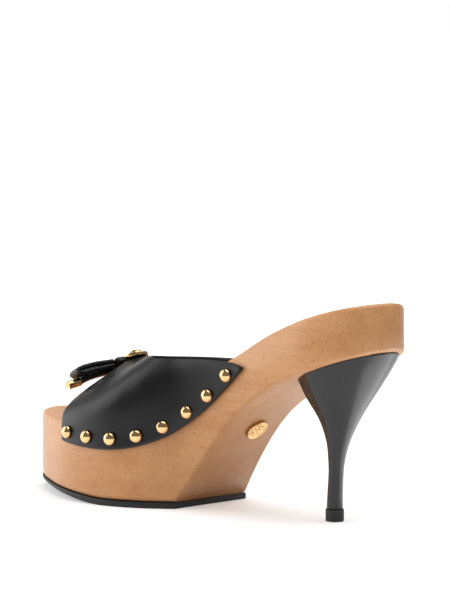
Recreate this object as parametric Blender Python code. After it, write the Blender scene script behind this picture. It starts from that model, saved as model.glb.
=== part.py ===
"""A high-heeled platform mule for the left foot: a beech sole, a nailed leather vamp and a ribbon bow.

The toe points to -X, the heel to +X, the outer side of the foot is at -Y and the floor is at z = 0.
Sizes in the tables are millimetres. The meshes are in metres.
"""
import math

import bmesh
import bpy
import numpy as np
from mathutils import Matrix, Vector

MM = 0.001

# Driving dimensions of the shoe
LENGTH = 246.8
PLATFORM_END = 7.0
EDGE_ROUND = 2.0
FOOTBED_DISH = 1.6
TOE_HUB = 34.0
HEEL_HUB = 27.0
STATION_COUNT = 52
LEATHER = 1.8
GAP = 0.3
WALL_GAP = 0.45

# Plan of the wood, from the toe tip to the heel tip
OUTER_SIDE = [  # x, y
    (-123.4, 8.0), (-115.0, -9.0), (-99.0, -21.5), (-81.0, -31.5), (-65.0, -38.5), (-50.0, -41.7),
    (-36.0, -42.0), (-22.0, -40.2), (-9.0, -35.6), (-1.0, -30.6), (7.0, -24.6), (17.0, -22.4),
    (45.0, -20.9), (72.0, -23.4), (95.0, -24.9), (114.5, -17.6), (123.4, 1.7)]
INNER_SIDE = [  # x, y
    (-123.4, 8.0), (-118.0, 22.5), (-104.0, 32.5), (-84.0, 39.4), (-62.0, 42.0), (-40.0, 41.2),
    (-20.0, 37.4), (-6.0, 32.6), (7.0, 27.8), (20.0, 24.6), (45.0, 22.4), (72.0, 25.6),
    (95.0, 28.3), (114.5, 21.0), (123.4, 1.7)]

# Side view of the wood: the rim of the footbed, and the underside of shank and heel seat
RIM = [  # x, z
    (-124.0, 43.2), (-78.0, 41.6), (-55.0, 42.2), (-38.0, 44.2), (-14.0, 52.0), (7.0, 60.0),
    (42.0, 75.6), (67.0, 87.2), (92.0, 95.5), (124.0, 103.2)]
UNDERSIDE = [  # x, z
    (7.0, 3.4), (15.0, 14.0), (22.0, 23.6), (31.0, 34.6), (40.0, 44.2), (48.0, 51.0), (58.0, 57.4),
    (70.0, 63.6), (82.0, 68.0), (94.0, 71.8), (108.0, 76.2), (124.0, 80.8)]

# Rubber outsole: height of its underside, flat and then lifting to the toe, and its thickness
SOLE_LIFT = [  # x, z
    (-124.0, 5.6), (-94.0, 5.2), (-78.0, 4.5), (-62.0, 3.3), (-47.0, 1.5), (-36.0, 0.3),
    (-30.0, 0.0), (-20.0, 0.0), (7.0, 0.0)]
SOLE_THICK = [  # x, thickness
    (-124.0, 1.4), (-94.0, 1.5), (-62.0, 2.1), (-40.0, 3.0), (-20.0, 3.1), (7.0, 3.1)]
SOLE_ROWS = 6

# Sections of the covered heel, from the top lift up to the seat
HEEL_ROWS = [  # share of height, centre x, rear radius, front radius, side radius
    (0.00, 88.8, 3.9, 3.9, 3.9), (0.13, 89.2, 3.7, 3.7, 3.7), (0.27, 89.7, 3.6, 3.6, 3.6),
    (0.37, 90.2, 4.2, 4.2, 4.2), (0.46, 91.0, 5.2, 5.2, 5.2), (0.535, 91.8, 6.7, 6.7, 6.7),
    (0.61, 92.6, 8.6, 8.6, 8.6), (0.695, 93.6, 11.6, 11.2, 11.4), (0.775, 94.5, 15.2, 14.2, 14.6),
    (0.865, 95.3, 19.6, 17.0, 18.0), (0.94, 96.2, 23.0, 18.8, 20.4), (1.00, 96.8, 25.4, 20.2, 22.2)]
HEEL_SIDES = 28
BREAST_CORNERS = [(8, 11), (17, 20)]  # first and last side of each flat between the heel's side and its front
TIP_RADIUS = 4.35
TIP_HEIGHT = 5.9
TIP_EDGE = 0.5
TIP_TAPER = 0.3
TIP_SIDES = 24
SEAT_Y = 1.7

# Vamp: its nailed lower edge, its top line, and the crest over the foot
VAMP_FRONT = -58.5
VAMP_CENTRE_FRONT = -64.5
VAMP_CENTRE_BACK = -41.0
VAMP_TIP = 52.5
CREST_Y = 6.5
LOWER_EDGE = [  # x, z
    (-58.5, 31.0), (-48.0, 29.6), (-34.0, 28.6), (-21.0, 28.7), (-10.0, 30.2), (2.0, 34.6),
    (15.0, 42.4), (24.0, 48.0), (33.0, 55.0), (42.0, 62.6), (52.5, 71.8)]
TOP_LINE = [  # x, z on the outer side, z on the inner side
    (-41.0, 72.6, 72.2), (-28.0, 73.1, 72.4), (7.0, 74.4, 72.8), (36.0, 75.1, 73.8), (45.0, 74.6, 73.8),
    (52.5, 72.6, 72.6)]
CREST = [  # x, z of the inside of the vamp, and past the centre back of the foot it would hold
    (-65.5, 63.5), (-60.0, 68.8), (-55.0, 72.3), (-50.0, 72.6), (-41.0, 72.6), (-22.0, 79.0),
    (-3.0, 87.5), (18.0, 96.0), (55.0, 106.0)]
SHOULDER = [  # x, share of the height at which the outer flank leans in
    (-66.0, 0.32), (-58.0, 0.30), (-50.0, 0.29), (-40.0, 0.34), (-10.0, 0.48), (60.0, 0.50)]
INNER_SHOULDER = 0.42
CROWN = [  # x, share of the half width over which the outer flank rounds into the crest
    (-66.0, 0.0), (-58.0, 0.0), (-52.0, 0.05), (-42.0, 0.22), (-32.0, 0.30), (60.0, 0.30)]
INNER_CROWN = 0.34
WAIST_SPAN = [  # x, how far the leather above the rim stands off the wood where it spans the waist's hollow
    (-14.0, 0.0), (-4.0, 0.3), (4.0, 1.0), (10.0, 1.4), (18.0, 0.8), (28.0, 0.2), (40.0, 0.0), (60.0, 0.0)]
BASE_Z = 24.0
RIM_CLEAR = 0.5
GIRTH_STEPS = 36
LENGTH_STEPS = 16

# Dome nails along the vamp's lower edge
NAILS_PER_SIDE = 8
NAIL_RADIUS = 3.15
NAIL_HEIGHT = 2.4
NAIL_INSET = [  # share of the lower edge from its front, distance in from the edge
    (0.0, 5.8), (0.3, 5.8), (0.55, 5.7), (0.68, 4.6), (0.8, 4.1), (1.0, 4.2)]
NAIL_GAP = 0.5
NAIL_ENDS = (0.045, 0.915)
NAIL_MARGIN = 0.6
NAIL_SIDES = 14

# Ribbon bow at the front of the vamp
BOW_ROOT = (-67.7, 5.6, 68.7)
KNOT_CENTRE = (-65.9, 5.6, 69.0)
KNOT_TILT = math.radians(42.0)
KNOT_HALF_WIDE = 4.4
KNOT_HALF_LONG = 4.4
KNOT_HALF_TALL = 2.1
KNOT_SIDES = 16
BOW_HALF_KNOT = 5.0
LOOP_REACH = 24.0
LOOP_SWEEP = -4.0
LOOP_DROOP = {-1: -4.2, 1: -2.9}
RIBBON_WIDTH = 7.0
RIBBON_SPREAD = 3.0
RIBBON_PITCH = math.radians(20.0)
RIBBON_THICK = 2.1
LOOP_LINE = [  # along the loop, height of the ribbon's middle
    (0.0, 1.3), (4.0, 1.5), (10.0, 1.9), (16.0, 1.85), (21.4, 1.45), (23.4, 0.1),
    (21.4, -1.3), (16.0, -1.15), (9.0, -1.0), (0.0, -1.15)]
TAIL_THICK = 2.2
TAIL_WIDTH = 6.0
TAIL_START = 3.5
TAIL_END = 21.5
TAIL_FORWARD = 1.5
TAIL_DROOP = 0.065
TAIL_ARCH = 0.5
TAIL_SIDES = 8
AGLET_RADIUS = 2.3
AGLET_LENGTH = 8.2
AGLET_LIP = 0.4
AGLET_SIDES = 16

# Round ornament behind the knot of the bow and a plain plate under the shank
MEDALLION_RADIUS = 6.6
MEDALLION_CENTRE = (-53.8, 5.8, 74.7)
MEDALLION_TILT = math.radians(4.0)
MEDALLION_RIM = [  # distance in from the edge, height
    (0.6, 0.0), (0.0, 0.6), (0.0, 1.5), (0.7, 2.1), (1.6, 1.7), (2.2, 1.7)]
MEDALLION_DOME = 1.8
BADGE_X = 36.0
BADGE_Y = 4.2
BADGE_RADIUS = 6.0
BADGE_GAP = 0.75
BADGE_PROFILE = [  # distance in from the edge, height
    (0.0, 0.0), (0.0, 0.9), (0.3, 1.2), (1.1, 1.2), (1.4, 0.8), (6.0, 0.8)]
TRIM_SIDES = 24


def smooth_table(rows):
    """Returns a smooth function through (x, value) rows, a cubic between each two rows."""
    xs = np.array([row[0] for row in rows])
    values = np.array([row[1] for row in rows])
    slopes = np.gradient(values, xs)

    def at(x):
        x = min(max(x, xs[0]), xs[-1])
        i = min(int(np.searchsorted(xs, x, side="right")) - 1, len(xs) - 2)
        step = xs[i + 1] - xs[i]
        t = (x - xs[i]) / step
        start = values[i] * (1 + 2 * t) * (1 - t) ** 2 + slopes[i] * step * t * (1 - t) ** 2
        end = values[i + 1] * t * t * (3 - 2 * t) + slopes[i + 1] * step * t * t * (t - 1)
        return float(start + end)

    return at


def smooth_line(points, per_span, square_ends=False):
    """Returns points on a Catmull-Rom curve through the given points, of any dimension.

    With square ends the curve starts and ends square to the first axis.
    """
    p = [np.array(point, float) for point in points]
    first = 2 * p[0] - p[1]
    last = 2 * p[-1] - p[-2]
    if square_ends:
        first[0], last[0] = p[1][0], p[-2][0]
    p = [first] + p + [last]
    line = []
    for i in range(1, len(p) - 2):
        for t in np.arange(per_span) / per_span:
            a = 2 * p[i]
            b = p[i + 1] - p[i - 1]
            c = 2 * p[i - 1] - 5 * p[i] + 4 * p[i + 1] - p[i + 2]
            d = -p[i - 1] + 3 * p[i] - 3 * p[i + 1] + p[i + 2]
            line.append(0.5 * (a + b * t + c * t * t + d * t ** 3))
    line.append(p[-2])
    return np.array(line)


def plan_side(rows):
    """Returns y of one side of the wood at any x. The curve leaves both tips square to the length."""
    line = smooth_line(rows, 24, square_ends=True)

    def at(x):
        return float(np.interp(x, line[:, 0], line[:, 1]))

    return at


outer_y = plan_side(OUTER_SIDE)
inner_y = plan_side(INNER_SIDE)
rim_z = smooth_table(RIM)
shank_z = smooth_table(UNDERSIDE)
lower_edge_z = smooth_table(LOWER_EDGE)
top_line_z = {-1: smooth_table([row[:2] for row in TOP_LINE]),
              1: smooth_table([row[::2] for row in TOP_LINE])}
crest_z = smooth_table(CREST)
sole_lift = smooth_table(SOLE_LIFT)
sole_thick = smooth_table(SOLE_THICK)
shoulder_share = smooth_table(SHOULDER)
crown_share = smooth_table(CROWN)
waist_span = smooth_table(WAIST_SPAN)
nail_inset = smooth_table(NAIL_INSET)


def floor_z(x):
    """Height of the outsole's underside, never below the floor."""
    return max(0.0, sole_lift(x))


def underside_z(x):
    """Height of the wood's underside."""
    if x <= PLATFORM_END:
        return floor_z(x) + sole_thick(x) + GAP
    return shank_z(x)


# Stations from the toe to the heel, close together at both ends, with one on the platform's end
STATIONS = -LENGTH / 2 * np.cos(np.pi * np.arange(STATION_COUNT + 1) / STATION_COUNT)
STATIONS[np.argmin(abs(STATIONS - PLATFORM_END))] = PLATFORM_END


def material(name, colour, roughness, metallic=0.0):
    """Returns a plain material of one colour."""
    made = bpy.data.materials.new(name)
    made.use_nodes = True
    shader = made.node_tree.nodes["Principled BSDF"]
    shader.inputs["Base Color"].default_value = (*colour, 1.0)
    shader.inputs["Roughness"].default_value = roughness
    shader.inputs["Metallic"].default_value = metallic
    return made


def add_object(name, points, faces, finish, smooth_angle=35.0):
    """Makes one object of a sub-part from points in millimetres, with its faces turned outwards."""
    mesh = bpy.data.meshes.new(name)
    mesh.from_pydata([tuple(float(c) * MM for c in p) for p in points], [], faces)
    shape = bmesh.new()
    shape.from_mesh(mesh)
    bmesh.ops.recalc_face_normals(shape, faces=shape.faces)
    shape.to_mesh(mesh)
    shape.free()
    mesh.shade_smooth()
    mesh.set_sharp_from_angle(angle=math.radians(smooth_angle))
    mesh.materials.append(finish)
    made = bpy.data.objects.new(name, mesh)
    bpy.context.scene.collection.objects.link(made)
    made.parent = shoe
    return made


def skin_faces(rings, closed=True):
    """Returns quads between equal rings of point numbers."""
    faces = []
    for lower, upper in zip(rings, rings[1:]):
        count = len(lower)
        for i in range(count if closed else count - 1):
            j = (i + 1) % count
            faces.append((lower[i], lower[j], upper[j], upper[i]))
    return faces


def make_platform(finish):
    """The beech sole: rings of the plan run over the footbed, round its edges and under the shank."""
    inner = STATIONS[1:-1]
    outline = [(x, outer_y(x)) for x in inner] + [(LENGTH / 2, SEAT_Y)]
    outline += [(x, inner_y(x)) for x in inner[::-1]] + [(-LENGTH / 2, OUTER_SIDE[0][1])]
    hubs = []
    for x, y in outline:
        hub_x = min(max(x, TOE_HUB - LENGTH / 2), LENGTH / 2 - HEEL_HUB)
        hubs.append((hub_x, (outer_y(hub_x) + inner_y(hub_x)) / 2))
    points, rings = [], []

    chamfer = EDGE_ROUND * (1 - math.sqrt(0.5))
    sections = [  # distance in from the outline, share of the way from the hub, surface, height above it
        (EDGE_ROUND, 0.3, underside_z, 0.0), (EDGE_ROUND, 0.68, underside_z, 0.0),
        (EDGE_ROUND, 1.0, underside_z, 0.0), (chamfer, 1.0, underside_z, chamfer),
        (0.0, 1.0, underside_z, EDGE_ROUND), (0.0, 1.0, rim_z, -EDGE_ROUND), (chamfer, 1.0, rim_z, -chamfer),
        (EDGE_ROUND, 1.0, rim_z, 0.0), (EDGE_ROUND, 0.68, rim_z, 0.0), (EDGE_ROUND, 0.3, rim_z, 0.0)]
    for inset, share, surface, rise in sections:
        numbers = []
        for (x, y), (hub_x, hub_y) in zip(outline, hubs):
            reach = math.hypot(x - hub_x, y - hub_y)
            keep = max(0.0, reach - inset) / reach * share
            at_x, at_y = hub_x + (x - hub_x) * keep, hub_y + (y - hub_y) * keep
            height = surface(at_x if rise == 0.0 else x) + rise
            if surface is rim_z:
                height -= FOOTBED_DISH * (1 - share ** 2)
            numbers.append(len(points))
            points.append((at_x, at_y, height))
        rings.append(numbers)
    faces = skin_faces(rings)
    # The middle of the underside and of the footbed is closed along the hubs
    for numbers, surface, dish in ((rings[0], underside_z, 0.0), (rings[-1], rim_z, FOOTBED_DISH)):
        spine = {}
        for hub in hubs:
            key = round(hub[0], 4)
            if key not in spine:
                spine[key] = len(points)
                points.append((hub[0], hub[1], surface(hub[0]) - dish))
        for i in range(len(outline)):
            j = (i + 1) % len(outline)
            a, b = spine[round(hubs[i][0], 4)], spine[round(hubs[j][0], 4)]
            faces.append((numbers[i], numbers[j], b, a) if a != b else (numbers[i], numbers[j], a))
    add_object("platform", points, faces, finish)


def make_outsole(finish):
    """The rubber sheet under the forefoot, with the toe spring of the wood above it."""
    xs = [x for x in STATIONS if x <= PLATFORM_END]
    points, layers = [], []
    for share in (0.0, 1.0):
        layer = []
        for k, x in enumerate(xs):
            line = []
            for j in range(SOLE_ROWS + 1 if k else 1):
                line.append(len(points))
                y = outer_y(x) + (inner_y(x) - outer_y(x)) * j / SOLE_ROWS
                points.append((x, y, floor_z(x) + share * sole_thick(x)))
            layer.append(line)
        layers.append(layer)
    faces = []
    for layer in layers:
        faces += [(layer[0][0], layer[1][j], layer[1][j + 1]) for j in range(SOLE_ROWS)]
        faces += skin_faces(layer[1:], closed=False)
    for end in (0, -1):
        faces += skin_faces([[line[end] for line in layer] for layer in layers], closed=False)
    faces += skin_faces([layer[-1] for layer in layers], closed=False)
    add_object("outsole", points, faces, finish)


def make_heel(finish):
    """The covered heel: sections that widen from a thin column to the seat, cut to the seat's slope."""
    rows = smooth_line(HEEL_ROWS, 2)
    base = TIP_HEIGHT + GAP
    points, rings = [], []
    for share, centre, rear, front, side in rows:
        square = 2.0 + 1.0 * share ** 3
        plan = []
        for i in range(HEEL_SIDES):
            angle = 2 * math.pi * i / HEEL_SIDES
            power = 2 / square if math.cos(angle) < 0 else 1.0
            along = math.copysign(abs(math.cos(angle)) ** power, math.cos(angle))
            across = math.copysign(abs(math.sin(angle)) ** power, math.sin(angle))
            plan.append((centre + along * (rear if along > 0 else front), SEAT_Y + across * side))
        for first, last in BREAST_CORNERS:
            for i in range(first + 1, last):
                t = (i - first) / (last - first)
                plan[i] = tuple(a + (b - a) * t for a, b in zip(plan[first], plan[last]))
        rings.append(list(range(len(points), len(points) + HEEL_SIDES)))
        points += [(x, y, base + share * (shank_z(x) - GAP - base)) for x, y in plan]
    faces = skin_faces(rings) + [tuple(rings[0])]
    top_rows = []
    for share in (0.66, 0.33):
        numbers = []
        centre = rows[-1][1]
        for i in rings[-1]:
            x = centre + (points[i][0] - centre) * share
            y = SEAT_Y + (points[i][1] - SEAT_Y) * share
            numbers.append(len(points))
            points.append((x, y, shank_z(x) - GAP))
        top_rows.append(numbers)
    faces += skin_faces([rings[-1]] + top_rows)
    points.append((rows[-1][1], SEAT_Y, shank_z(rows[-1][1]) - GAP))
    last = top_rows[-1]
    faces += [(last[i], last[(i + 1) % HEEL_SIDES], len(points) - 1) for i in range(HEEL_SIDES)]
    add_object("heel", points, faces, finish)


def turned(profile, sides, place):
    """Returns points and faces of a profile of (radius, height) rows turned round, moved by a matrix."""
    points, rings, faces = [], [], []
    for radius, height in profile:
        if radius == 0.0:
            rings.append([len(points)])
            points.append(place @ Vector((0.0, 0.0, height)))
            continue
        rings.append(list(range(len(points), len(points) + sides)))
        for i in range(sides):
            angle = 2 * math.pi * i / sides
            points.append(place @ Vector((radius * math.cos(angle), radius * math.sin(angle), height)))
    for lower, upper in zip(rings, rings[1:]):
        for i in range(sides):
            j = (i + 1) % sides
            if len(lower) == 1:
                faces.append((lower[0], upper[j], upper[i]))
            elif len(upper) == 1:
                faces.append((lower[i], lower[j], upper[0]))
            else:
                faces.append((lower[i], lower[j], upper[j], upper[i]))
    if len(rings[0]) > 1:
        faces.append(tuple(reversed(rings[0])))
    if len(rings[-1]) > 1:
        faces.append(tuple(rings[-1]))
    return points, faces


def make_heel_tip(finish):
    """The top lift that the heel stands on."""
    profile = [(TIP_RADIUS - TIP_EDGE, 0.0), (TIP_RADIUS, TIP_EDGE), (TIP_RADIUS - TIP_TAPER, TIP_HEIGHT)]
    points, faces = turned(profile, TIP_SIDES, Matrix.Translation((HEEL_ROWS[0][1], SEAT_Y, 0.0)))
    add_object("heel_tip", points, faces, finish)


def wall_y(x, side):
    """Y of the vamp's inside where it lies along the wood's side wall. Side is -1 outer, 1 inner."""
    line = outer_y if side < 0 else inner_y
    slope = line(x + 0.5) - line(x - 0.5)
    return line(x) + side * WALL_GAP * math.hypot(1.0, slope)


def vamp_inside(x, girth):
    """A point of the vamp's inside: girth -1 low on the outer wall, 0 on the crest, 1 on the inner wall.

    From 1 to 0.5 it runs up the wood's wall to the rim, and from 0.5 to 0 it leans over the foot.
    """
    side = -1 if girth < 0 else 1
    reach = abs(girth)
    wall, rim, crest = wall_y(x, side), rim_z(x) + RIM_CLEAR, crest_z(x)
    wall += side * waist_span(x) * min(1.0, 2 - 2 * reach)
    if reach >= 0.5:
        return np.array([x, wall, rim + (BASE_Z - rim) * (reach - 0.5) * 2])
    t = 1 - reach * 2
    height = crest - rim
    shoulder = shoulder_share(x) if side < 0 else INNER_SHOULDER
    crown = crown_share(x) if side < 0 else INNER_CROWN
    ys = (wall, wall, CREST_Y + (wall - CREST_Y) * crown, CREST_Y)
    zs = (rim, rim + shoulder * height, crest, crest)
    mix = ((1 - t) ** 3, 3 * t * (1 - t) ** 2, 3 * t * t * (1 - t), t ** 3)
    return np.array([x, sum(m * y for m, y in zip(mix, ys)), sum(m * z for m, z in zip(mix, zs))])


def girth_at_height(x, side, z):
    """The girth at which the vamp's inside reaches a height."""
    reaches = np.linspace(1.0, 0.0, 241)
    heights = np.array([vamp_inside(x, side * r)[2] for r in reaches])
    heights = np.maximum.accumulate(heights)
    return side * float(np.interp(z, heights, reaches))


def vamp_edges():
    """Returns the vamp's front edge, top line and two lower edges as lines of (x, girth)."""
    spread = 1 - np.cos(np.linspace(0, math.pi / 2, 41))
    back = [VAMP_CENTRE_BACK + (VAMP_TIP - VAMP_CENTRE_BACK) * s for s in spread]
    low = np.linspace(VAMP_FRONT, VAMP_TIP, 61)
    lower = {}
    upper = {}
    for side in (-1, 1):
        lower[side] = [(x, girth_at_height(x, side, lower_edge_z(x))) for x in low]
        upper[side] = [(x, girth_at_height(x, side, top_line_z[side](x))) for x in back]
        upper[side][0] = (VAMP_CENTRE_BACK, 0.0)
    front = []
    for girth in np.linspace(lower[-1][0][1], lower[1][0][1], 81):
        lean = math.cos(math.pi / 2 * min(1.0, abs(girth) / 0.5)) ** 2
        front.append((VAMP_FRONT + (VAMP_CENTRE_FRONT - VAMP_FRONT) * lean, girth))
    top = upper[-1][::-1] + upper[1][1:]
    return front, top, lower[-1], lower[1]


def even_edge(edge, count):
    """Spreads points of (x, girth) evenly by their length in space."""
    rows = [(*vamp_inside(*spot), *spot) for spot in edge]
    steps = np.linalg.norm(np.diff(np.array(rows)[:, :3], axis=0), axis=1)
    run = np.concatenate([[0.0], np.cumsum(steps)])
    spots = np.linspace(0.0, run[-1], count + 1)
    return np.stack([np.interp(spots, run, np.array(edge)[:, k]) for k in range(2)], 1)


def vamp_spot(edges, s, t):
    """Blends the four edges: s runs over the foot from 0 to 1, t from the front edge to the top line."""
    front, top, outer, inner = edges
    i, j = round(s * GIRTH_STEPS), round(t * LENGTH_STEPS)
    across = (1 - t) * front[i] + t * top[i]
    along = (1 - s) * outer[j] + s * inner[j]
    corners = (1 - t) * ((1 - s) * front[0] + s * front[-1]) + t * ((1 - s) * top[0] + s * top[-1])
    return across + along - corners


def outward(x, girth):
    """The direction out of the vamp at a spot."""
    step = 0.004
    dx = vamp_inside(x + 0.4, girth) - vamp_inside(x - 0.4, girth)
    dg = vamp_inside(x, min(girth + step, 1.0)) - vamp_inside(x, max(girth - step, -1.0))
    normal = np.cross(dg, dx)
    normal /= np.linalg.norm(normal)
    return -normal if normal[2] < -0.3 or normal[1] * np.sign(girth or 1.0) < -0.3 else normal


def make_upper(finish):
    """The vamp: one leather wall over the forefoot, open at the toe, behind and underneath."""
    front, top, outer, inner = vamp_edges()
    edges = (even_edge(front, GIRTH_STEPS), even_edge(top, GIRTH_STEPS),
             even_edge(outer, LENGTH_STEPS), even_edge(inner, LENGTH_STEPS))
    inside, outside = [], []
    points = []
    for i in range(GIRTH_STEPS + 1):
        row_in, row_out = [], []
        for j in range(LENGTH_STEPS + 1):
            x, girth = vamp_spot(edges, i / GIRTH_STEPS, j / LENGTH_STEPS)
            base = vamp_inside(x, girth)
            row_in.append(len(points))
            points.append(base)
            row_out.append(len(points))
            points.append(base + LEATHER * outward(x, girth))
        inside.append(row_in)
        outside.append(row_out)
    faces = skin_faces(inside, closed=False) + skin_faces(outside, closed=False)
    borders = [(inside[0], outside[0]), (inside[-1], outside[-1]),
               ([r[0] for r in inside], [r[0] for r in outside]),
               ([r[-1] for r in inside], [r[-1] for r in outside])]
    for border in borders:
        faces += skin_faces(border, closed=False)
    add_object("upper", points, faces, finish)


def make_nails(finish):
    """Dome nails, evenly spaced along each lower edge of the vamp."""
    profile = [(NAIL_RADIUS * math.cos(a), NAIL_HEIGHT * math.sin(a)) for a in np.radians((0, 28, 56))]
    profile.append((0.0, NAIL_HEIGHT))
    low = np.linspace(VAMP_FRONT, VAMP_TIP, 61)
    spread = 200
    for side, label in ((-1, "outer"), (1, "inner")):
        edge = even_edge([(x, girth_at_height(x, side, lower_edge_z(x))) for x in low], spread)
        for number, share in enumerate(np.linspace(*NAIL_ENDS, NAILS_PER_SIDE)):
            k = round(share * spread)
            run = vamp_inside(*edge[k + 4]) - vamp_inside(*edge[k - 4])
            run /= np.linalg.norm(run)
            # The nail sits square above the slanting edge
            inset = nail_inset(share)
            x = max(edge[k][0] - inset * run[2], VAMP_FRONT + NAIL_RADIUS + NAIL_MARGIN)
            girth = girth_at_height(x, side, lower_edge_z(edge[k][0]) + inset * run[0])
            out = outward(x, girth)
            seat = vamp_inside(x, girth) + (LEATHER + NAIL_GAP) * out
            turn = Vector(out).to_track_quat("Z", "Y").to_matrix().to_4x4()
            points, faces = turned(profile, NAIL_SIDES, Matrix.Translation(seat) @ turn)
            add_object(f"stud_{label}_{number + 1}", points, faces, finish, 50.0)


def bow_frame(side):
    """Returns the root of one half of the bow and its directions: along the loop, across the ribbon, up."""
    root = np.array(BOW_ROOT) + (0.0, side * BOW_HALF_KNOT, 0.0)
    along = np.array([LOOP_SWEEP, side * LOOP_REACH, LOOP_DROOP[side]])
    along /= np.linalg.norm(along)
    forward = np.array([-math.cos(RIBBON_PITCH), 0.0, -math.sin(RIBBON_PITCH)])
    across = forward - along * forward.dot(along)
    across /= np.linalg.norm(across)
    up = np.cross(along, across) * -side
    return root, along, across, up * np.sign(up[2])


def make_loop(side, label, finish):
    """One loop of the ribbon: a band that runs out from the knot, turns, and comes back below."""
    root, along, across, up = bow_frame(side)
    line = smooth_line(LOOP_LINE, 3)
    directions = np.gradient(line, axis=0)
    directions /= np.linalg.norm(directions, axis=1)[:, None]
    normals = np.stack([directions[:, 1], -directions[:, 0]], 1)
    outside, inside = line - normals * RIBBON_THICK / 2, line + normals * RIBBON_THICK / 2
    points, rings = [], []
    for edge in (-0.5, 0.5):
        for path in (outside, inside):
            rings.append(list(range(len(points), len(points) + len(path))))
            for out, height in path:
                share = min(1.0, max(0.0, out) / LOOP_REACH)
                width = RIBBON_WIDTH + RIBBON_SPREAD * math.sin(math.pi / 2 * share) ** 2
                points.append(root + along * (out + GAP) + across * edge * width + up * height)
    near_out, near_in, far_out, far_in = rings
    faces = []
    for pair in ((near_out, far_out), (near_in, far_in), (near_out, near_in), (far_out, far_in)):
        faces += skin_faces(pair, closed=False)
    for end in (0, -1):
        faces.append((near_out[end], near_in[end], far_in[end], far_out[end]))
    add_object(f"bow_loop_{label}", points, faces, finish)


def make_tail(side, label, leather, gold):
    """One tail of the ribbon under its loop, with a metal aglet pushed on its end."""
    root, along, across, up = bow_frame(side)
    drop = LOOP_LINE[-2][1] - RIBBON_THICK / 2 - GAP - TAIL_THICK / 2
    along = along - up * TAIL_DROOP
    along /= np.linalg.norm(along)
    up = np.cross(along, across)
    up = up * np.sign(up[2])
    points, rings = [], []
    root = root + across * TAIL_FORWARD
    for share in np.linspace(0.0, 1.0, 7):
        out = TAIL_START + (TAIL_END - TAIL_START) * share
        arch = TAIL_ARCH * math.sin(math.pi * share)
        rings.append(list(range(len(points), len(points) + TAIL_SIDES)))
        for i in range(TAIL_SIDES):
            angle = 2 * math.pi * (i + 0.5) / TAIL_SIDES
            wide = math.copysign(abs(math.cos(angle)) ** 0.4, math.cos(angle)) * TAIL_WIDTH / 2
            tall = math.copysign(abs(math.sin(angle)) ** 0.8, math.sin(angle)) * TAIL_THICK / 2
            points.append(root + along * out + across * wide + up * (drop + arch + tall))
    faces = skin_faces(rings) + [tuple(rings[0]), tuple(rings[-1])]
    add_object(f"bow_tail_{label}", points, faces, leather)
    place = np.eye(4)
    place[:3, 0], place[:3, 1], place[:3, 2] = across, np.cross(along, across), along
    place[:3, 3] = root + along * (TAIL_END + GAP) + up * drop
    profile = [(AGLET_RADIUS - AGLET_LIP, 0.0), (AGLET_RADIUS, AGLET_LIP),
               (AGLET_RADIUS, AGLET_LENGTH - AGLET_LIP), (AGLET_RADIUS - AGLET_LIP, AGLET_LENGTH)]
    points, faces = turned(profile, AGLET_SIDES, Matrix(place.tolist()))
    add_object(f"aglet_{label}", points, faces, gold)


def make_knot(finish):
    """The short band that wraps the middle of the bow."""
    place = Matrix.Translation(KNOT_CENTRE) @ Matrix.Rotation(-KNOT_TILT, 4, "Y")
    points, rings = [], []
    for share, squeeze in ((-1.0, 0.9), (-0.5, 1.0), (0.5, 1.0), (1.0, 0.9)):
        rings.append(list(range(len(points), len(points) + KNOT_SIDES)))
        for i in range(KNOT_SIDES):
            angle = 2 * math.pi * (i + 0.5) / KNOT_SIDES
            along = math.copysign(abs(math.cos(angle)) ** 0.5, math.cos(angle)) * KNOT_HALF_LONG * squeeze
            tall = math.copysign(abs(math.sin(angle)) ** 0.7, math.sin(angle)) * KNOT_HALF_TALL * squeeze
            points.append(place @ Vector((along, share * KNOT_HALF_WIDE, tall)))
    faces = skin_faces(rings) + [tuple(rings[0]), tuple(rings[-1])]
    add_object("bow_knot", points, faces, finish)


def make_medallion(finish):
    """A plain round boss with a raised rim and a domed middle, fixed behind the knot."""
    profile = [(MEDALLION_RADIUS - inset, height) for inset, height in MEDALLION_RIM]
    radius, base = profile[-1]
    for angle in np.radians((12, 40, 66)):
        profile.append((radius * math.cos(angle), base + MEDALLION_DOME * math.sin(angle)))
    profile.append((0.0, base + MEDALLION_DOME))
    place = Matrix.Translation(MEDALLION_CENTRE) @ Matrix.Rotation(-MEDALLION_TILT, 4, "Y")
    points, faces = turned(profile, TRIM_SIDES, place)
    add_object("medallion", points, faces, finish)


def make_badge(finish):
    """A small plain plate let against the underside of the shank."""
    slope = math.atan2(shank_z(BADGE_X + 2) - shank_z(BADGE_X - 2), 4.0)
    down = Vector((math.sin(slope), 0.0, -math.cos(slope)))
    seat = Vector((BADGE_X, BADGE_Y, shank_z(BADGE_X))) + down * BADGE_GAP
    place = Matrix.Translation(seat) @ down.to_track_quat("Z", "Y").to_matrix().to_4x4()
    profile = [(BADGE_RADIUS - inset, height) for inset, height in BADGE_PROFILE]
    points, faces = turned(profile, TRIM_SIDES, place)
    add_object("badge", points, faces, finish)


for old in list(bpy.data.objects):
    bpy.data.objects.remove(old, do_unlink=True)
shoe = bpy.data.objects.new("shoe", None)
bpy.context.scene.collection.objects.link(shoe)

beech = material("beech", (0.55, 0.30, 0.15), 0.45)
rubber = material("black_rubber", (0.02, 0.02, 0.02), 0.7)
cover = material("heel_cover", (0.015, 0.015, 0.016), 0.3)
leather = material("black_leather", (0.02, 0.02, 0.021), 0.4)
gold = material("polished_gold", (0.83, 0.60, 0.28), 0.18, 1.0)

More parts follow.
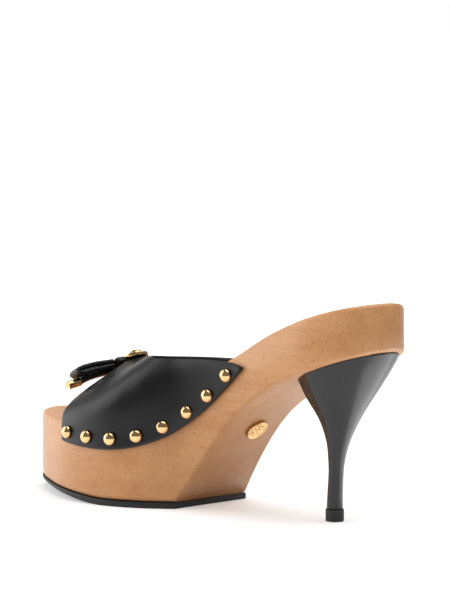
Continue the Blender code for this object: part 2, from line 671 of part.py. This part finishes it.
make_platform(beech)
make_outsole(rubber)
make_heel(cover)
make_heel_tip(rubber)
make_upper(leather)
make_nails(gold)
make_knot(leather)
for bow_side, bow_label in ((-1, "outer"), (1, "inner")):
    make_loop(bow_side, bow_label, leather)
    make_tail(bow_side, bow_label, leather, gold)
make_medallion(gold)
make_badge(gold)
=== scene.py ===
"""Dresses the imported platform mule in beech, leather, rubber and gold, under soft studio light."""
import math

import bpy
from mathutils import Matrix, Vector


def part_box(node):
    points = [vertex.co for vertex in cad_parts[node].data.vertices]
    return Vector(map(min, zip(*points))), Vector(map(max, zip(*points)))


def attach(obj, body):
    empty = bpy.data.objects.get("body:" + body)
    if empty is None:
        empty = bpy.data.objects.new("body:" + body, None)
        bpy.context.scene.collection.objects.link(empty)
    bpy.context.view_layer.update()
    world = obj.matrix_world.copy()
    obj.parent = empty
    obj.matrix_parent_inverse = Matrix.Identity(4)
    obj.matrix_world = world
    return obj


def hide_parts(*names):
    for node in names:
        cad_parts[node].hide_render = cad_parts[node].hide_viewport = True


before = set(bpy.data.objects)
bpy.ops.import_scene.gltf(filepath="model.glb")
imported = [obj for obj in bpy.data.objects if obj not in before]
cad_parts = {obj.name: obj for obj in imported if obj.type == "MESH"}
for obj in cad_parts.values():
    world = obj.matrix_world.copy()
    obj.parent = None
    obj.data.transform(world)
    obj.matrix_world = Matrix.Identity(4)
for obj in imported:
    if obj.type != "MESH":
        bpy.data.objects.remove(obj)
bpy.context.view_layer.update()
scene = bpy.context.scene
MM = 0.001


# The camera stands level at the height of the heel seat and looks at the outer side of the shoe from
# behind, so the platform's rear face shows and the toe points away to the left.
camera_data = bpy.data.cameras.new("camera")
camera_data.sensor_fit = "VERTICAL"
camera_data.sensor_height = 24.0
camera_data.lens = 56.72
camera_data.clip_start = 0.01
camera = bpy.data.objects.new("camera", camera_data)
camera.location = (0.5152, -0.5142, 0.104)
camera.rotation_euler = (math.radians(90.0), 0.0, math.radians(44.0))
scene.collection.objects.link(camera)
scene.camera = camera


# The beech sole: platform, shank and heel seat shaped from one block, sanded round at its edges and
# lacquered. The footbed is bare wood. The rubber, the leather and the heel are all fixed to it.
def copy_of(node, name):
    """Copies a solid of the frame and welds its loose triangles into one closed skin."""
    bpy.ops.object.select_all(action="DESELECT")
    made = bpy.data.objects.new(name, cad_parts[node].data.copy())
    scene.collection.objects.link(made)
    made.data.materials.clear()
    made.select_set(True)
    bpy.context.view_layer.objects.active = made
    bpy.ops.object.mode_set(mode="EDIT")
    bpy.ops.mesh.select_all(action="SELECT")
    bpy.ops.mesh.remove_doubles(threshold=0.01 * MM)
    bpy.ops.mesh.tris_convert_to_quads(face_threshold=math.radians(40), shape_threshold=math.radians(60))
    bpy.ops.object.mode_set(mode="OBJECT")
    return made


def linear(code):
    """Turns an sRGB hex colour into the linear one that a shader needs."""
    values = [int(code[i:i + 2], 16) / 255 for i in (1, 3, 5)]
    return (*[v / 12.92 if v <= 0.04045 else ((v + 0.055) / 1.055) ** 2.4 for v in values], 1.0)


def add_node(material, kind, settings, **links):
    """Adds a node, sets its values by socket name or attribute, and links its inputs."""
    node = material.node_tree.nodes.new(kind)
    for key, value in settings.items():
        if key in node.inputs:
            node.inputs[key].default_value = value
        else:
            setattr(node, key, value)
    for key, source in links.items():
        material.node_tree.links.new(source, node.inputs[key.replace("_", " ")])
    return node


def new_material(name, **values):
    """Starts a material and sets the plain values of its shader."""
    made = bpy.data.materials.new(name)
    made.use_nodes = True
    shader = made.node_tree.nodes["Principled BSDF"]
    for key, value in values.items():
        shader.inputs[key.replace("_", " ")].default_value = value
    return made, shader, made.node_tree.links


def finish_piece(piece, material, slot, *nodes):
    """Gives a piece its material, hangs it on the root body, and hides the frame's solids that it stands for.
    """
    piece.data.materials.clear()
    piece.data.materials.append(material)
    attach(piece, "root")
    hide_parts(*nodes)


sole_block = copy_of("platform", "sole_block")
bpy.ops.object.shade_smooth_by_angle(angle=math.radians(48))

# Lacquered beech: steamed to a warm tan, with straight grain along the shoe in soft streaks 8 mm wide,
# fibre lines drawn 1 mm wide so that they show, dark ray flecks 3 mm long, and a clear lacquer that
# turns pale where it is seen at a slant.
beech, beech_shader, beech_links = new_material("lacquered_beech", Roughness=0.38, IOR=1.5)
place = add_node(beech, "ShaderNodeTexCoord", {})
streak_place = add_node(beech, "ShaderNodeMapping", {"Scale": (12.0, 120.0, 120.0)},
                        Vector=place.outputs["Object"])
streak = add_node(beech, "ShaderNodeTexNoise", {"Scale": 1.0, "Detail": 3.0, "Roughness": 0.5},
                  Vector=streak_place.outputs["Vector"])
tone = add_node(beech, "ShaderNodeValToRGB", {}, Fac=streak.outputs["Fac"])
tone.color_ramp.elements[0].position = 0.3
tone.color_ramp.elements[0].color = linear("#DC9C66")
tone.color_ramp.elements[1].position = 0.7
tone.color_ramp.elements[1].color = linear("#EAAE79")
fibre_place = add_node(beech, "ShaderNodeMapping", {"Scale": (40.0, 1000.0, 1000.0)},
                       Vector=place.outputs["Object"])
fibre = add_node(beech, "ShaderNodeTexNoise", {"Scale": 1.0, "Detail": 2.0, "Roughness": 0.6},
                 Vector=fibre_place.outputs["Vector"])
fibre_mask = add_node(beech, "ShaderNodeMapRange",
                      {"From Min": 0.35, "From Max": 0.7, "To Min": 0.0, "To Max": 0.35},
                      Value=fibre.outputs["Fac"])
fibre_colour = add_node(beech, "ShaderNodeMix", {"data_type": "RGBA"})
beech_links.new(fibre_mask.outputs["Result"], fibre_colour.inputs[0])
beech_links.new(tone.outputs["Color"], fibre_colour.inputs[6])
fibre_colour.inputs[7].default_value = linear("#CB884C")
fleck_place = add_node(beech, "ShaderNodeMapping", {"Scale": (260.0, 1900.0, 1900.0)},
                       Vector=place.outputs["Object"])
fleck = add_node(beech, "ShaderNodeTexNoise", {"Scale": 1.0, "Detail": 1.0, "Roughness": 0.5},
                 Vector=fleck_place.outputs["Vector"])
fleck_mask = add_node(beech, "ShaderNodeMapRange",
                      {"From Min": 0.6, "From Max": 0.72, "To Min": 0.0, "To Max": 0.42},
                      Value=fleck.outputs["Fac"])
wood_colour = add_node(beech, "ShaderNodeMix", {"data_type": "RGBA"})
beech_links.new(fleck_mask.outputs["Result"], wood_colour.inputs[0])
beech_links.new(fibre_colour.outputs[2], wood_colour.inputs[6])
wood_colour.inputs[7].default_value = linear("#955E36")
beech_links.new(wood_colour.outputs[2], beech_shader.inputs["Base Color"])
pores = add_node(beech, "ShaderNodeBump", {"Strength": 0.06, "Distance": 0.0002}, Height=fleck.outputs["Fac"])
beech_links.new(pores.outputs["Normal"], beech_shader.inputs["Normal"])
finish_piece(sole_block, beech, "beech", "platform")


# The outsole: a black rubber sheet about 3 mm thick, cut to the platform's outline, glued under it
# and cut square at its rear.
tread = copy_of("outsole", "tread")
edge = tread.modifiers.new("edge", "BEVEL")
edge.width = 0.4 * MM
edge.segments = 2
edge.limit_method = "ANGLE"
edge.angle_limit = math.radians(50)
bpy.ops.object.modifier_apply(modifier="edge")
bpy.ops.object.shade_smooth_by_angle(angle=math.radians(40))

# Black rubber: moulded, dull, with a fine pebble that breaks up its sheen.
rubber, rubber_shader, rubber_links = new_material(
    "moulded_rubber", Base_Color=linear("#1B1C1D"), Roughness=0.55, IOR=1.5)
place = add_node(rubber, "ShaderNodeTexCoord", {})
pebble = add_node(rubber, "ShaderNodeTexNoise", {"Scale": 1400.0, "Detail": 3.0, "Roughness": 0.6},
                  Vector=place.outputs["Object"])
rough = add_node(rubber, "ShaderNodeMapRange", {"To Min": 0.45, "To Max": 0.7}, Value=pebble.outputs["Fac"])
rubber_links.new(rough.outputs["Result"], rubber_shader.inputs["Roughness"])
grit = add_node(rubber, "ShaderNodeBump", {"Strength": 0.15, "Distance": 0.0001},
                Height=pebble.outputs["Fac"])
rubber_links.new(grit.outputs["Normal"], rubber_shader.inputs["Normal"])
finish_piece(tread, rubber, "black_rubber", "outsole")


# The heel: a moulded core with a thin smooth black cover, glued and screwed under the heel seat. It
# narrows to a slim column, with a small pin hole just above the top lift.
SKIN_LEVELS = 2


def smooth_skin(piece, sharp_angle, crease):
    """Rounds a piece with subdivision and keeps its sharp rims by a crease."""
    bpy.ops.object.mode_set(mode="EDIT")
    bpy.ops.mesh.select_mode(type="EDGE")
    bpy.ops.mesh.select_all(action="DESELECT")
    bpy.ops.mesh.edges_select_sharp(sharpness=math.radians(sharp_angle))
    bpy.ops.transform.edge_crease(value=crease)
    bpy.ops.object.mode_set(mode="OBJECT")
    skin = piece.modifiers.new("skin", "SUBSURF")
    skin.levels = SKIN_LEVELS
    skin.render_levels = SKIN_LEVELS
    bpy.ops.object.modifier_apply(modifier="skin")


PIN_HOLE_RADIUS = 0.5 * MM
PIN_HOLE_DEPTH = 2.0 * MM
PIN_HOLE_PLACE = (0.0918, -0.001, 0.0074)
PIN_HOLE_TURN = (math.radians(90.0), 0.0, math.radians(45.0))
heel_column = copy_of("heel", "heel_column")
smooth_skin(heel_column, sharp_angle=20, crease=0.9)
bpy.ops.object.select_all(action="DESELECT")
bpy.ops.mesh.primitive_cylinder_add(vertices=16, radius=PIN_HOLE_RADIUS, depth=PIN_HOLE_DEPTH,
                                    location=PIN_HOLE_PLACE, rotation=PIN_HOLE_TURN)
drill = bpy.context.object
bpy.ops.object.select_all(action="DESELECT")
heel_column.select_set(True)
bpy.context.view_layer.objects.active = heel_column
pin_hole = heel_column.modifiers.new("pin_hole", "BOOLEAN")
pin_hole.object = drill
pin_hole.operation = "DIFFERENCE"
bpy.ops.object.modifier_apply(modifier="pin_hole")
bpy.data.objects.remove(drill, do_unlink=True)
bpy.ops.object.shade_smooth_by_angle(angle=math.radians(18))

# Heel cover: smooth black coated leather with a satin shine and hardly any grain.
cover, cover_shader, cover_links = new_material(
    "smooth_heel_cover", Base_Color=linear("#1C1C1D"), Roughness=0.26, IOR=1.5)
place = add_node(cover, "ShaderNodeTexCoord", {})
haze = add_node(cover, "ShaderNodeTexNoise", {"Scale": 900.0, "Detail": 3.0}, Vector=place.outputs["Object"])
rough = add_node(cover, "ShaderNodeMapRange", {"To Min": 0.22, "To Max": 0.3}, Value=haze.outputs["Fac"])
cover_links.new(rough.outputs["Result"], cover_shader.inputs["Roughness"])
skin_grain = add_node(cover, "ShaderNodeBump", {"Strength": 0.05, "Distance": 0.0001},
                      Height=haze.outputs["Fac"])
cover_links.new(skin_grain.outputs["Normal"], cover_shader.inputs["Normal"])
finish_piece(heel_column, cover, "heel_cover", "heel")


# The top lift: a small turned plug of hard black rubber, pinned into the heel's end.
low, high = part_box("heel_tip")
bpy.ops.object.select_all(action="DESELECT")
bpy.ops.mesh.primitive_cylinder_add(vertices=48, radius=(high.x - low.x) / 2, depth=high.z - low.z,
                                    location=(low + high) / 2)
top_lift = bpy.context.object
top_lift.name = "top_lift"
bpy.ops.object.transform_apply(location=True, rotation=True, scale=True)
bpy.ops.object.mode_set(mode="EDIT")
bpy.ops.mesh.select_mode(type="EDGE")
bpy.ops.mesh.select_all(action="DESELECT")
bpy.ops.mesh.edges_select_sharp(sharpness=math.radians(60))
bpy.ops.mesh.bevel(offset=0.5 * MM, segments=3)
bpy.ops.object.mode_set(mode="OBJECT")
bpy.ops.object.shade_smooth_by_angle(angle=math.radians(40))
finish_piece(top_lift, rubber, "black_rubber", "heel_tip")


# The vamp: one piece of black leather about 1.8 mm thick, wrapped over the forefoot, cut to a low top
# line, and nailed through its lower edge to the sides of the wood. The bow's pull gathers its front
# edge into short soft folds.
def pick_nothing(kind):
    """Sets what the active mesh is picked by, and drops what is picked."""
    bpy.ops.object.mode_set(mode="EDIT")
    bpy.ops.mesh.select_mode(type=kind)
    bpy.ops.mesh.select_all(action="DESELECT")
    bpy.ops.object.mode_set(mode="OBJECT")


CREST_MIDDLE = 6.5 * MM
CREST_HALF_WIDTH = 6.0 * MM
vamp = copy_of("upper", "vamp")
bpy.ops.object.mode_set(mode="EDIT")
bpy.ops.mesh.select_mode(type="EDGE")
bpy.ops.mesh.select_all(action="DESELECT")
bpy.ops.mesh.edges_select_sharp(sharpness=math.radians(60))
bpy.ops.mesh.select_mode(type="VERT")
bpy.ops.mesh.select_all(action="INVERT")
bpy.ops.object.mode_set(mode="OBJECT")
flanks = [point.index for point in vamp.data.vertices
          if point.select and abs(point.co.y - CREST_MIDDLE) > CREST_HALF_WIDTH]
pick_nothing("VERT")
for index in flanks:
    vamp.data.vertices[index].select = True
bpy.ops.object.mode_set(mode="EDIT")
bpy.ops.mesh.vertices_smooth(factor=0.5, repeat=3)
bpy.ops.object.mode_set(mode="OBJECT")
smooth_skin(vamp, sharp_angle=60, crease=0.45)
PLEATS = [  # two ends of a fold on the leather, how far each step moves out of the shoe, radius of the bend
    ((-57.5, -25.5, 58.2), (-48.5, -23.5, 61.2), -0.55, 5.5),
    ((-54.0, -32.5, 54.6), (-45.0, -30.0, 58.8), 0.4, 5.5),
    ((-54.5, -14.5, 64.8), (-44.0, -20.5, 63.2), -0.4, 5.0)]
PLEAT_STEPS = 6
pleat_out = Vector((-0.12, -0.49, 0.86))
for start, end, move, radius in PLEATS:
    for step in range(PLEAT_STEPS):
        spot = Vector(start).lerp(Vector(end), step / (PLEAT_STEPS - 1)) * MM
        pick_nothing("VERT")
        nearest = min(vamp.data.vertices, key=lambda point: (point.co - spot).length)
        nearest.select = True
        bpy.ops.object.mode_set(mode="EDIT")
        bpy.ops.transform.translate(value=pleat_out * move * MM, use_proportional_edit=True,
                                    proportional_edit_falloff="SMOOTH", proportional_size=radius * MM)
bpy.ops.object.mode_set(mode="OBJECT")
bpy.ops.object.shade_smooth_by_angle(angle=math.radians(60))

# Smooth black calf: dyed through, finished to a satin, with a fine pore grain of about 0.6 mm.
calf, calf_shader, calf_links = new_material(
    "smooth_black_calf", Base_Color=linear("#131314"), Roughness=0.38, IOR=1.42)
place = add_node(calf, "ShaderNodeTexCoord", {})
grain = add_node(calf, "ShaderNodeTexVoronoi", {"Scale": 1500.0}, Vector=place.outputs["Object"])
wear = add_node(calf, "ShaderNodeTexNoise", {"Scale": 60.0, "Detail": 4.0}, Vector=place.outputs["Object"])
rough = add_node(calf, "ShaderNodeMapRange", {"To Min": 0.34, "To Max": 0.42}, Value=wear.outputs["Fac"])
calf_links.new(rough.outputs["Result"], calf_shader.inputs["Roughness"])
pore = add_node(calf, "ShaderNodeBump", {"Strength": 0.06, "Distance": 0.0001},
                Height=grain.outputs["Distance"])
calf_links.new(pore.outputs["Normal"], calf_shader.inputs["Normal"])
finish_piece(vamp, calf, "black_leather", "upper")


# The dome nails: brass heads pressed into caps, gilded and polished, hammered in a row along the vamp's
# lower edge. One is modelled at the origin and copied to each place.
def seat_of(node):
    """Returns the matrix that stands a turned piece on the round base of its solid."""
    probe = copy_of(node, "probe")
    bpy.ops.object.mode_set(mode="EDIT")
    bpy.ops.mesh.select_all(action="SELECT")
    bpy.ops.mesh.dissolve_limited(angle_limit=math.radians(1.0))
    bpy.ops.object.mode_set(mode="OBJECT")
    base = max(probe.data.polygons, key=lambda face: (round(face.area / MM ** 2, 1), -abs(face.center.y)))
    turn = (-base.normal).to_track_quat("Z", "Y").to_matrix().to_4x4()
    seat = Matrix.Translation(base.center) @ turn
    bpy.data.objects.remove(probe, do_unlink=True)
    return seat


def placed_copy(model, name, seat):
    """Copies a modelled piece with its own mesh and moves that mesh to its seat."""
    made = bpy.data.objects.new(name, model.data.copy())
    made.data.transform(seat)
    scene.collection.objects.link(made)
    return made


NAIL_RADIUS = 3.35 * MM
NAIL_HEIGHT = 2.4 * MM
NAIL_SKIRT = 0.45 * MM
bpy.ops.object.select_all(action="DESELECT")
bpy.ops.mesh.primitive_uv_sphere_add(segments=32, ring_count=24, radius=NAIL_RADIUS)
nail = bpy.context.object
bpy.ops.object.mode_set(mode="EDIT")
bpy.ops.mesh.select_all(action="SELECT")
bpy.ops.mesh.bisect(plane_co=(0.0, 0.0, 0.0), plane_no=(0.0, 0.0, 1.0), clear_inner=True)
bpy.ops.mesh.extrude_region_move(TRANSFORM_OT_translate={"value": (0.0, 0.0, -NAIL_SKIRT)})
bpy.ops.mesh.edge_face_add()
bpy.ops.mesh.select_all(action="SELECT")
bpy.ops.transform.resize(value=(1.0, 1.0, NAIL_HEIGHT / NAIL_RADIUS), center_override=(0.0, 0.0, 0.0))
bpy.ops.mesh.normals_make_consistent(inside=False)
bpy.ops.object.mode_set(mode="OBJECT")
bpy.ops.object.shade_smooth_by_angle(angle=math.radians(50))

# Polished gilt brass: a mirror with a warm gold tint, and a faint haze from handling.
gold, gold_shader, gold_links = new_material(
    "polished_gilt_brass", Base_Color=linear("#EBC48D"), Metallic=1.0, Roughness=0.12)
place = add_node(gold, "ShaderNodeTexCoord", {})
polish = add_node(gold, "ShaderNodeTexNoise", {"Scale": 700.0, "Detail": 2.0}, Vector=place.outputs["Object"])
rough = add_node(gold, "ShaderNodeMapRange", {"To Min": 0.08, "To Max": 0.16}, Value=polish.outputs["Fac"])
gold_links.new(rough.outputs["Result"], gold_shader.inputs["Roughness"])

for side in ("outer", "inner"):
    for number in range(1, 9):
        node = f"stud_{side}_{number}"
        dome_nail = placed_copy(nail, f"dome_nail_{side}_{number}", seat_of(node))
        finish_piece(dome_nail, gold, "polished_gold", node)
bpy.data.objects.remove(nail, do_unlink=True)


# The bow: a leather ribbon folded into two loops over two short tails, pinched by a band in the
# middle and sewn to the front of the vamp.
def plump(amount):
    """Swells the piece in hand, to make up for what smoothing takes off."""
    bpy.ops.object.mode_set(mode="EDIT")
    bpy.ops.mesh.select_all(action="SELECT")
    bpy.ops.transform.shrink_fatten(value=amount)
    bpy.ops.object.mode_set(mode="OBJECT")


def pick_end(piece, way):
    """Picks the end row of a ribbon that lies furthest along Y one way, and returns its middle."""
    pick_nothing("VERT")
    edge = max(point.co.y * way for point in piece.data.vertices)
    row = [point for point in piece.data.vertices if point.co.y * way > edge - END_ROW]
    for point in row:
        point.select = True
    middle = sum((point.co for point in row), Vector()) / len(row)
    bpy.ops.object.mode_set(mode="EDIT")
    return middle


END_ROW = 1.6 * MM
LOOP_TUCK = 1.0 * MM
TAIL_GATHER = 1.45
TAIL_GATHER_LENGTH = 9.0 * MM
TAIL_TUCK = 2.5 * MM
TAIL_LIFT = 0.9 * MM
for side, outwards in (("outer", -1), ("inner", 1)):
    loop = copy_of(f"bow_loop_{side}", f"ribbon_loop_{side}")
    plump(0.25 * MM)
    pick_end(loop, -outwards)
    bpy.ops.transform.translate(value=(0.0, -outwards * LOOP_TUCK, 0.0))
    bpy.ops.object.mode_set(mode="OBJECT")
    smooth_skin(loop, sharp_angle=60, crease=0.45)
    bpy.ops.object.shade_smooth()
    finish_piece(loop, calf, "black_leather", f"bow_loop_{side}")
    tail = copy_of(f"bow_tail_{side}", f"ribbon_tail_{side}")
    plump(0.3 * MM)
    middle = pick_end(tail, outwards)
    bpy.ops.transform.resize(value=(1.0, 1.0, TAIL_GATHER), center_override=middle,
                             use_proportional_edit=True, proportional_edit_falloff="SMOOTH",
                             proportional_size=TAIL_GATHER_LENGTH)
    pick_end(tail, -outwards)
    bpy.ops.transform.translate(value=(0.0, -outwards * TAIL_TUCK, TAIL_LIFT))
    bpy.ops.object.mode_set(mode="OBJECT")
    smooth_skin(tail, sharp_angle=70, crease=0.5)
    bpy.ops.object.shade_smooth_by_angle(angle=math.radians(50))
    finish_piece(tail, calf, "black_leather", f"bow_tail_{side}")
band = copy_of("bow_knot", "ribbon_band")
plump(0.5 * MM)
smooth_skin(band, sharp_angle=60, crease=0.4)
bpy.ops.object.shade_smooth_by_angle(angle=math.radians(50))
finish_piece(band, calf, "black_leather", "bow_knot")


# The aglets: turned gilt brass sleeves pressed on the ends of the tails, with a lip at the open end and
# a shallow dished cap.
AGLET_RADIUS = 2.3 * MM
AGLET_LENGTH = 8.2 * MM
bpy.ops.object.select_all(action="DESELECT")
bpy.ops.mesh.primitive_cylinder_add(vertices=32, radius=AGLET_RADIUS, depth=AGLET_LENGTH,
                                    location=(0.0, 0.0, AGLET_LENGTH / 2))
sleeve = bpy.context.object
bpy.ops.object.transform_apply(location=True, rotation=True, scale=True)
for end in (0.0, AGLET_LENGTH):
    pick_nothing("FACE")
    for face in sleeve.data.polygons:
        face.select = len(face.vertices) > 8 and abs(face.center.z - end) < 0.1 * MM
    bpy.ops.object.mode_set(mode="EDIT")
    bpy.ops.mesh.inset(thickness=0.7 * MM, depth=-0.35 * MM)
bpy.ops.mesh.select_mode(type="EDGE")
bpy.ops.mesh.select_all(action="DESELECT")
bpy.ops.mesh.edges_select_sharp(sharpness=math.radians(40))
bpy.ops.mesh.bevel(offset=0.25 * MM, segments=3)
bpy.ops.object.mode_set(mode="OBJECT")
bpy.ops.object.shade_smooth_by_angle(angle=math.radians(40))
for side in ("outer", "inner"):
    aglet = placed_copy(sleeve, f"tail_end_{side}", seat_of(f"aglet_{side}"))
    finish_piece(aglet, gold, "polished_gold", f"aglet_{side}")
bpy.data.objects.remove(sleeve, do_unlink=True)


# The ornament at the middle of the bow: a cast boss with a raised rim, a ring of small beads and a domed
# middle, gilded and polished, held by a post through the leather.
def cast_disc(radius, thickness, steps):
    """Models a round casting at the origin: a disc whose top is stepped inwards by (inset, rise) rows."""
    bpy.ops.object.select_all(action="DESELECT")
    bpy.ops.mesh.primitive_cylinder_add(vertices=64, radius=radius, depth=thickness,
                                        location=(0.0, 0.0, thickness / 2))
    made = bpy.context.object
    bpy.ops.object.transform_apply(location=True, rotation=True, scale=True)
    pick_nothing("FACE")
    for face in made.data.polygons:
        face.select = face.normal.z > 0.9
    bpy.ops.object.mode_set(mode="EDIT")
    for inset, rise in steps:
        bpy.ops.mesh.inset(thickness=inset, depth=rise)
    bpy.ops.mesh.select_mode(type="EDGE")
    bpy.ops.mesh.select_all(action="DESELECT")
    bpy.ops.mesh.edges_select_sharp(sharpness=math.radians(30))
    bpy.ops.mesh.bevel(offset=0.15 * MM, segments=2)
    bpy.ops.object.mode_set(mode="OBJECT")
    return made


def relief(name, size, spots):
    """Models one rounded lump of the given half sizes and copies it to each matrix in spots."""
    bpy.ops.object.select_all(action="DESELECT")
    bpy.ops.mesh.primitive_uv_sphere_add(segments=16, ring_count=10, radius=1.0)
    lump = bpy.context.object
    bpy.ops.object.mode_set(mode="EDIT")
    bpy.ops.mesh.select_all(action="SELECT")
    bpy.ops.mesh.bisect(plane_co=(0.0, 0.0, -0.4), plane_no=(0.0, 0.0, 1.0), clear_inner=True, use_fill=True)
    bpy.ops.mesh.select_all(action="SELECT")
    bpy.ops.transform.resize(value=size, center_override=(0.0, 0.0, 0.0))
    bpy.ops.object.mode_set(mode="OBJECT")
    made = [placed_copy(lump, name, spot) for spot in spots]
    bpy.data.objects.remove(lump, do_unlink=True)
    return made


def join_trim(disc, lumps, name, node, seat):
    """Joins a casting's relief to its disc and moves it to its seat."""
    bpy.ops.object.select_all(action="DESELECT")
    for lump in lumps:
        lump.select_set(True)
    disc.select_set(True)
    bpy.context.view_layer.objects.active = disc
    bpy.ops.object.join()
    bpy.ops.object.shade_smooth_by_angle(angle=math.radians(45))
    disc.name = name
    disc.data.transform(seat)
    finish_piece(disc, gold, "polished_gold", node)


BOSS_SINK = 1.5 * MM
BOSS_LEAN = math.radians(10.0)
BEAD_COUNT = 22
BEAD_RING = 4.75 * MM
bead_spots = []
for number in range(BEAD_COUNT):
    turn = Matrix.Rotation(2 * math.pi * number / BEAD_COUNT, 4, "Z")
    bead_spots.append(turn @ Matrix.Translation((BEAD_RING, 0.0, 1.6 * MM)))
boss = cast_disc(6.6 * MM, 1.6 * MM, [
    (0.5 * MM, 0.3 * MM), (0.7 * MM, 0.0), (0.3 * MM, -0.4 * MM), (0.9 * MM, 0.0), (0.35 * MM, 0.8 * MM),
    (0.6 * MM, 0.7 * MM), (0.8 * MM, 0.5 * MM), (0.9 * MM, 0.25 * MM)])
beads = relief("bead", (0.62 * MM, 0.62 * MM, 0.62 * MM), bead_spots)
boss_seat = seat_of("medallion") @ Matrix.Translation((0.0, 0.0, -BOSS_SINK))
boss_place = Matrix.Translation(boss_seat.translation)
boss_seat = boss_place @ Matrix.Rotation(-BOSS_LEAN, 4, "Y") @ boss_place.inverted() @ boss_seat
join_trim(boss, beads, "bow_boss", "medallion", boss_seat)


# The plate under the shank: a small cast rosette on a rimmed disc, gilded and polished, pinned to the wood.
PETAL_COUNT = 8
PETAL_RING = 2.75 * MM
PETAL_BASE = 0.75 * MM
petal_spots = []
for number in range(PETAL_COUNT):
    turn = Matrix.Rotation(2 * math.pi * number / PETAL_COUNT, 4, "Z")
    petal_spots.append(turn @ Matrix.Translation((PETAL_RING, 0.0, PETAL_BASE)))
plate = cast_disc(6.0 * MM, 0.8 * MM, [(0.3 * MM, 0.4 * MM), (0.6 * MM, 0.0), (0.3 * MM, -0.4 * MM)])
petals = relief("petal", (1.75 * MM, 0.95 * MM, 0.65 * MM), petal_spots)
petals += relief("boss", (1.1 * MM, 1.1 * MM, 0.9 * MM), [Matrix.Translation((0.0, 0.0, PETAL_BASE))])
join_trim(plate, petals, "shank_plate", "badge", seat_of("badge"))


# The studio: a lit white table in a dim room, with one broad soft light overhead, a soft box on the toe's
# side, weak fills on the outer side and the rear, low ones for the arch and the heel's edge, and a pale wall.
# The camera sees only white round the shoe.
TABLE_SIZE = 1.0
bpy.ops.object.select_all(action="DESELECT")
bpy.ops.mesh.primitive_plane_add(size=TABLE_SIZE, location=(0.0, 0.0, 0.0))
floor = bpy.context.object
floor.name = "floor"
paper, paper_shader, paper_links = new_material(
    "white_table", Base_Color=(0.9, 0.9, 0.9, 1.0), Roughness=0.9, Emission_Color=(1.0, 1.0, 1.0, 1.0),
    Emission_Strength=0.5)
seen = add_node(paper, "ShaderNodeLightPath", {})
table_glow = add_node(paper, "ShaderNodeMapRange", {"To Min": 0.36, "To Max": 0.0},
                      Value=seen.outputs["Is Diffuse Ray"])
paper_links.new(table_glow.outputs["Result"], paper_shader.inputs["Emission Strength"])
table_tone = add_node(paper, "ShaderNodeMapRange", {"To Min": 0.95, "To Max": 0.55},
                      Value=seen.outputs["Is Diffuse Ray"])
paper_links.new(table_tone.outputs["Result"], paper_shader.inputs["Base Color"])
floor.data.materials.append(paper)

world = bpy.data.worlds.new("studio")
scene.world = world
world.use_nodes = True
air = world.node_tree.nodes["Background"]
way = add_node(world, "ShaderNodeTexCoord", {})
behind = add_node(world, "ShaderNodeVectorMath", {"operation": "DOT_PRODUCT"})
world.node_tree.links.new(way.outputs["Generated"], behind.inputs[0])
behind.inputs[1].default_value = (-0.934, 0.358, 0.0)
axes = add_node(world, "ShaderNodeSeparateXYZ", {}, Vector=way.outputs["Generated"])
wall = add_node(world, "ShaderNodeMapRange",
                {"From Min": 0.3, "From Max": 0.8, "To Min": 0.0, "To Max": 1.2},
                Value=behind.outputs["Value"])
height = add_node(world, "ShaderNodeMapRange",
                  {"From Min": 0.1, "From Max": 0.36, "To Min": 1.0, "To Max": 0.0},
                  Value=axes.outputs["Z"])
glow = add_node(world, "ShaderNodeMath", {"operation": "MULTIPLY_ADD"})
world.node_tree.links.new(wall.outputs["Result"], glow.inputs[0])
world.node_tree.links.new(height.outputs["Result"], glow.inputs[1])
glow.inputs[2].default_value = 0.2
path = add_node(world, "ShaderNodeLightPath", {})
shown = add_node(world, "ShaderNodeMath", {"operation": "MAXIMUM"})
world.node_tree.links.new(glow.outputs["Value"], shown.inputs[0])
world.node_tree.links.new(path.outputs["Is Camera Ray"], shown.inputs[1])
air.inputs["Color"].default_value = (1.0, 1.0, 1.0, 1.0)
world.node_tree.links.new(shown.outputs["Value"], air.inputs["Strength"])


def set_light(data, spot, turn, unseen_by):
    """Stands a light in the studio and hides it from the given kinds of ray."""
    light = bpy.data.objects.new(data.name, data)
    light.location = spot
    light.rotation_euler = turn
    for ray in unseen_by:
        setattr(light, f"visible_{ray}", False)
    scene.collection.objects.link(light)


def facing(way):
    """Returns the turn that points a light along a direction."""
    return Vector(way).to_track_quat("-Z", "Y").to_euler()


overhead = bpy.data.lights.new("overhead", "SUN")
overhead.energy = 1.9
overhead.angle = math.radians(56.0)
set_light(overhead, (0.0, 0.0, 0.0), facing((-0.18, -0.17, -0.96)), [])
AREA_LIGHTS = [  # name, sides in metres, watts, place, turn, rays that it is hidden from
    ("toe_box", (1.1, 1.3), 7.5, (-1.0, -0.58, 0.5), facing((0.97, 0.58, -0.42)), []),
    ("side_fill", (1.0, 1.0), 3.4, (0.05, -1.1, 0.4), facing((0.0, 1.1, -0.34)), ["glossy"]),
    ("rear_fill", (0.6, 0.6), 0.7, (0.85, -0.05, 0.2), facing((-0.85, 0.05, -0.14)), ["glossy"]),
    ("arch_card", (0.06, 0.1), 0.028, (0.118, 0.0, 0.003), (math.radians(180.0), 0.0, 0.0),
     ["glossy", "camera"]),
    ("heel_strip", (0.12, 0.22), 0.15, (0.175, 0.12, 0.002),
     (math.radians(180.0), 0.0, math.radians(-35.0)), ["diffuse", "camera"])]
for name, sides, watts, spot, turn, unseen_by in AREA_LIGHTS:
    area = bpy.data.lights.new(name, "AREA")
    area.shape = "RECTANGLE"
    area.size, area.size_y = sides
    area.energy = watts
    set_light(area, spot, turn, unseen_by)
scene.view_settings.view_transform = "Standard"
